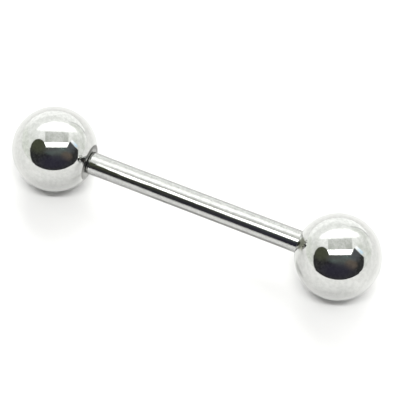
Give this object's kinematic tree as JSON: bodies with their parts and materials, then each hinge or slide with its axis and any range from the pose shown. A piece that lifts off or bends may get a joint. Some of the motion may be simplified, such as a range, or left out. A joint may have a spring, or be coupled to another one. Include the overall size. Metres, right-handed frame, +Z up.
{
  "type": "tongue barbell",
  "caption": "Straight polished steel barbell for a tongue piercing, with a round ball that unscrews at each end of the bar.",
  "frame": {"origin": "on the surface that the barbell lies on, under the middle of the bar", "axes": "+X along the bar, towards the ball nearer the camera in the picture; +Z up"},
  "size_m": [0.0276, 0.006, 0.006],
  "materials": {
    "polished_steel": "mirror-polished surgical steel"
  },
  "bodies": {
    "bar": {"bar": "polished_steel"},
    "ball_left": {"ball_left": "polished_steel"},
    "ball_right": {"ball_right": "polished_steel"}
  },
  "joints": [
    {"name": "ball_left_off", "type": "slide", "parent": "bar", "child": "ball_left", "axis": [-1, 0, 0], "range_m": [0, 0.02]},
    {"name": "ball_right_off", "type": "slide", "parent": "bar", "child": "ball_right", "axis": [1, 0, 0], "range_m": [0, 0.02]}
  ]
}
